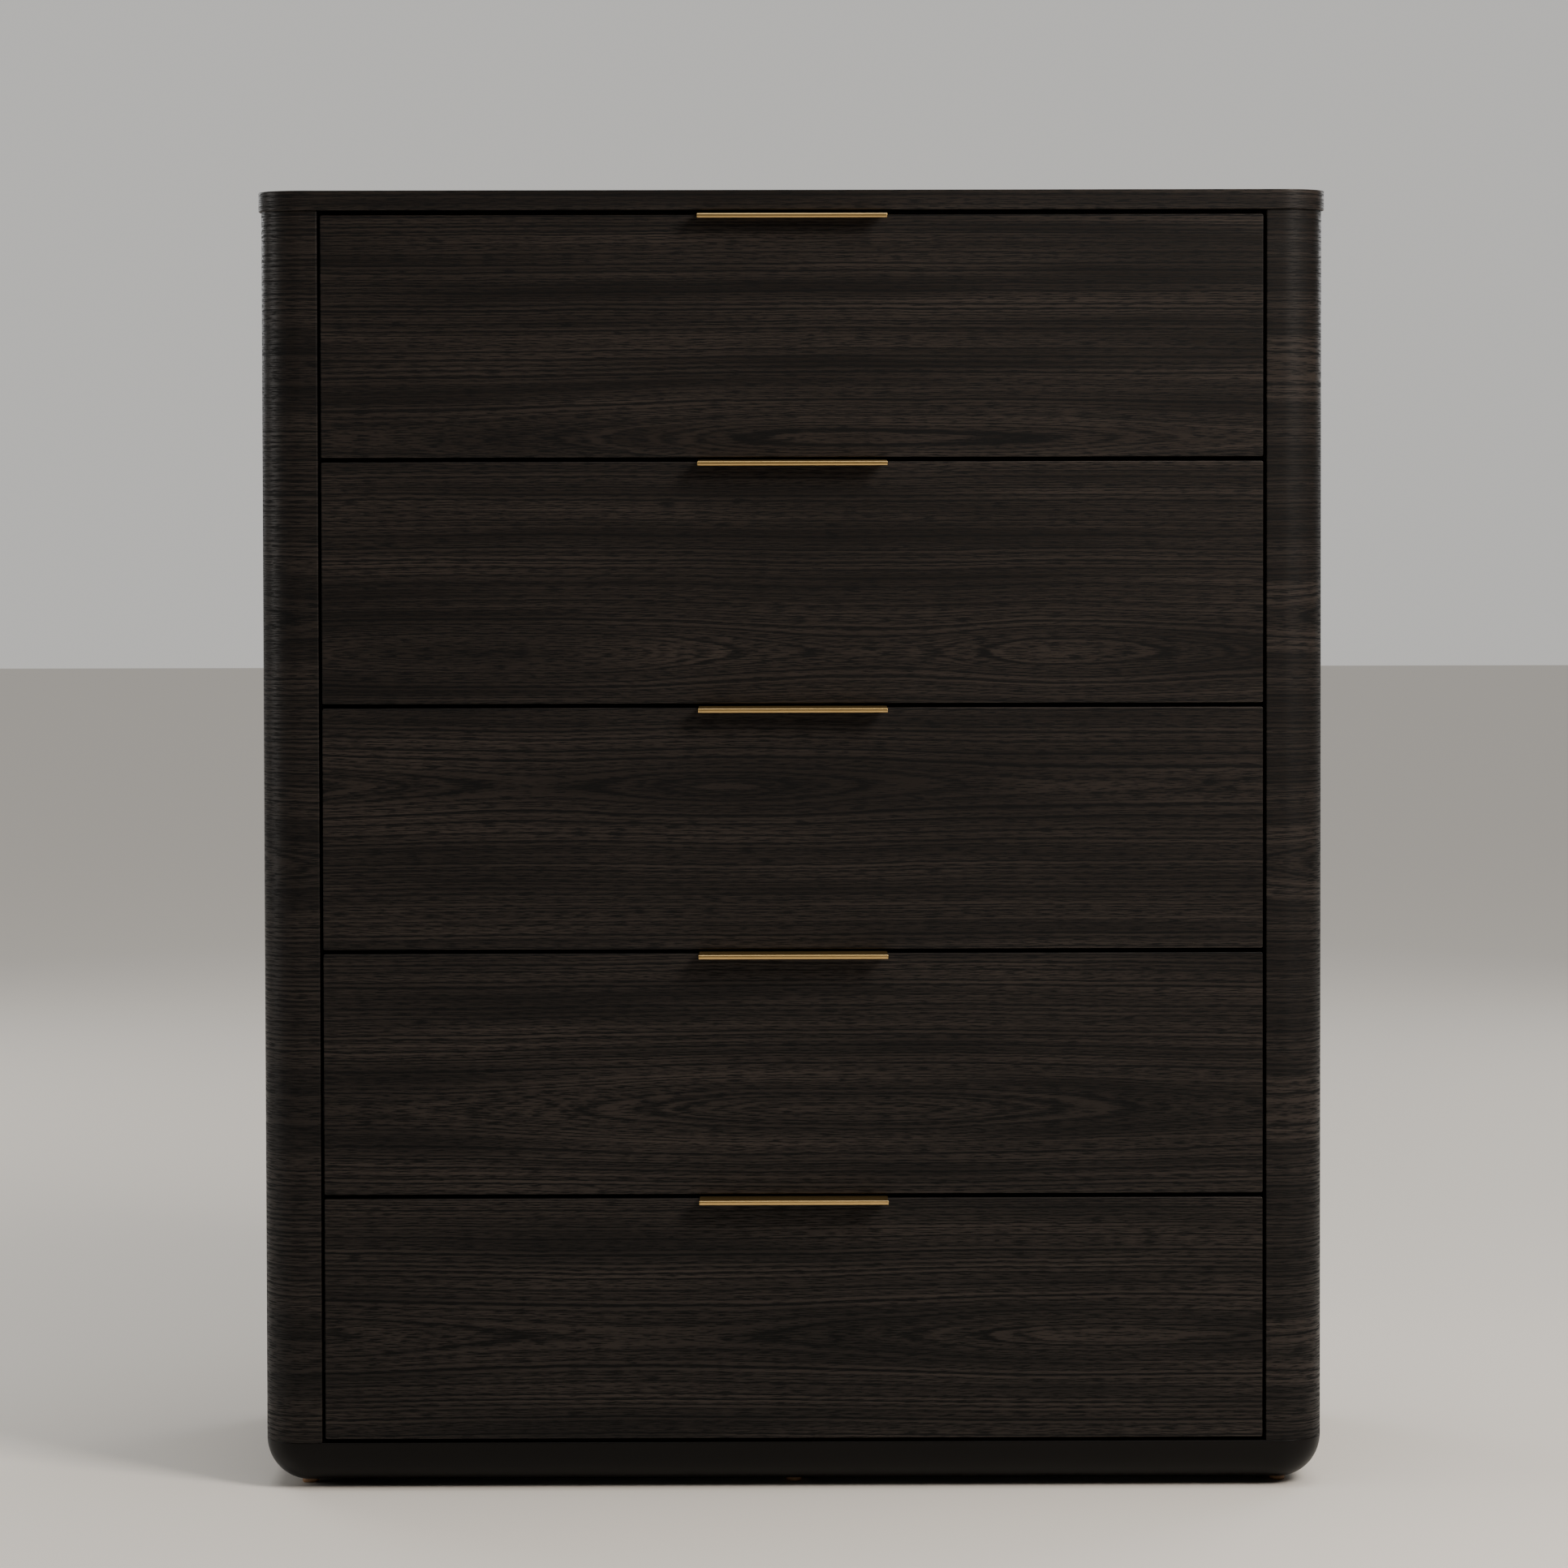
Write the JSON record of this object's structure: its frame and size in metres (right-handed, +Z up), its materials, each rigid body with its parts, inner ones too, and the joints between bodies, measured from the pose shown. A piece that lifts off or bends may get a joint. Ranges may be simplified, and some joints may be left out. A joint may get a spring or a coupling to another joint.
{
  "type": "chest of drawers",
  "caption": "Tall chest of full-width drawers on telescopic slides, with rounded front corners, a rounded plinth and slim brass edge pulls.",
  "frame": {"origin": "on the floor, under the middle of the object's whole outline", "axes": "+Z up; the drawers open towards -Y, so +Y points to the back; +X to the right of someone facing the front"},
  "size_m": [0.98, 0.42, 1.193],
  "materials": {
    "oak_veneer": "black-brown stained open-pore oak veneer, satin lacquer",
    "plinth_paint": "black-brown satin paint on wood",
    "case_board": "dark melamine-faced board",
    "back_board": "dark faced fibreboard",
    "drawer_board": "pale melamine-faced board",
    "drawer_bottom": "pale faced fibreboard",
    "foot_wood": "natural beech",
    "pull_brass": "brushed and lacquered brass",
    "slide_steel": "rolled steel, zinc-plated and blackened",
    "fastener_steel": "zinc-plated"
  },
  "bodies": {
    "carcass": {"top_panel": "oak_veneer", "side_panel_left": "oak_veneer", "side_panel_right": "oak_veneer", "corner_post_left": "oak_veneer", "corner_post_right": "oak_veneer", "plinth_front": "plinth_paint", "plinth_left": "plinth_paint", "plinth_right": "plinth_paint", "bottom_panel": "case_board", "back_panel": "back_board", "cross_rails": "case_board", "runner_battens": "case_board", "slide_outers": "slide_steel", "case_fasteners": "fastener_steel", "feet": "foot_wood"},
    "drawer1": {"drawer1_front": "oak_veneer", "drawer1_side_left": "drawer_board", "drawer1_side_right": "drawer_board", "drawer1_back": "drawer_board", "drawer1_bottom": "drawer_bottom", "drawer1_pull": "pull_brass", "drawer1_slide_inners": "slide_steel", "drawer1_fasteners": "fastener_steel"},
    "drawer1_slides": {"drawer1_slide_middles": "slide_steel"},
    "drawer2": {"drawer2_front": "oak_veneer", "drawer2_side_left": "drawer_board", "drawer2_side_right": "drawer_board", "drawer2_back": "drawer_board", "drawer2_bottom": "drawer_bottom", "drawer2_pull": "pull_brass", "drawer2_slide_inners": "slide_steel", "drawer2_fasteners": "fastener_steel"},
    "drawer2_slides": {"drawer2_slide_middles": "slide_steel"},
    "drawer3": {"drawer3_front": "oak_veneer", "drawer3_side_left": "drawer_board", "drawer3_side_right": "drawer_board", "drawer3_back": "drawer_board", "drawer3_bottom": "drawer_bottom", "drawer3_pull": "pull_brass", "drawer3_slide_inners": "slide_steel", "drawer3_fasteners": "fastener_steel"},
    "drawer3_slides": {"drawer3_slide_middles": "slide_steel"},
    "drawer4": {"drawer4_front": "oak_veneer", "drawer4_side_left": "drawer_board", "drawer4_side_right": "drawer_board", "drawer4_back": "drawer_board", "drawer4_bottom": "drawer_bottom", "drawer4_pull": "pull_brass", "drawer4_slide_inners": "slide_steel", "drawer4_fasteners": "fastener_steel"},
    "drawer4_slides": {"drawer4_slide_middles": "slide_steel"},
    "drawer5": {"drawer5_front": "oak_veneer", "drawer5_side_left": "drawer_board", "drawer5_side_right": "drawer_board", "drawer5_back": "drawer_board", "drawer5_bottom": "drawer_bottom", "drawer5_pull": "pull_brass", "drawer5_slide_inners": "slide_steel", "drawer5_fasteners": "fastener_steel"},
    "drawer5_slides": {"drawer5_slide_middles": "slide_steel"}
  },
  "joints": [
    {"name": "drawer1_pull_out", "type": "slide", "parent": "carcass", "child": "drawer1", "axis": [0, -1, 0], "range_m": [0, 0.35]},
    {"name": "drawer1_slide_travel", "type": "slide", "parent": "carcass", "child": "drawer1_slides", "axis": [0, -1, 0], "range_m": [0, 0.175]},
    {"name": "drawer2_pull_out", "type": "slide", "parent": "carcass", "child": "drawer2", "axis": [0, -1, 0], "range_m": [0, 0.35]},
    {"name": "drawer2_slide_travel", "type": "slide", "parent": "carcass", "child": "drawer2_slides", "axis": [0, -1, 0], "range_m": [0, 0.175]},
    {"name": "drawer3_pull_out", "type": "slide", "parent": "carcass", "child": "drawer3", "axis": [0, -1, 0], "range_m": [0, 0.35]},
    {"name": "drawer3_slide_travel", "type": "slide", "parent": "carcass", "child": "drawer3_slides", "axis": [0, -1, 0], "range_m": [0, 0.175]},
    {"name": "drawer4_pull_out", "type": "slide", "parent": "carcass", "child": "drawer4", "axis": [0, -1, 0], "range_m": [0, 0.35]},
    {"name": "drawer4_slide_travel", "type": "slide", "parent": "carcass", "child": "drawer4_slides", "axis": [0, -1, 0], "range_m": [0, 0.175]},
    {"name": "drawer5_pull_out", "type": "slide", "parent": "carcass", "child": "drawer5", "axis": [0, -1, 0], "range_m": [0, 0.35]},
    {"name": "drawer5_slide_travel", "type": "slide", "parent": "carcass", "child": "drawer5_slides", "axis": [0, -1, 0], "range_m": [0, 0.175]}
  ],
  "couplings": [
    {"joint": "drawer1_slide_travel", "follows": "drawer1_pull_out", "ratio": 0.5},
    {"joint": "drawer2_slide_travel", "follows": "drawer2_pull_out", "ratio": 0.5},
    {"joint": "drawer3_slide_travel", "follows": "drawer3_pull_out", "ratio": 0.5},
    {"joint": "drawer4_slide_travel", "follows": "drawer4_pull_out", "ratio": 0.5},
    {"joint": "drawer5_slide_travel", "follows": "drawer5_pull_out", "ratio": 0.5}
  ]
}
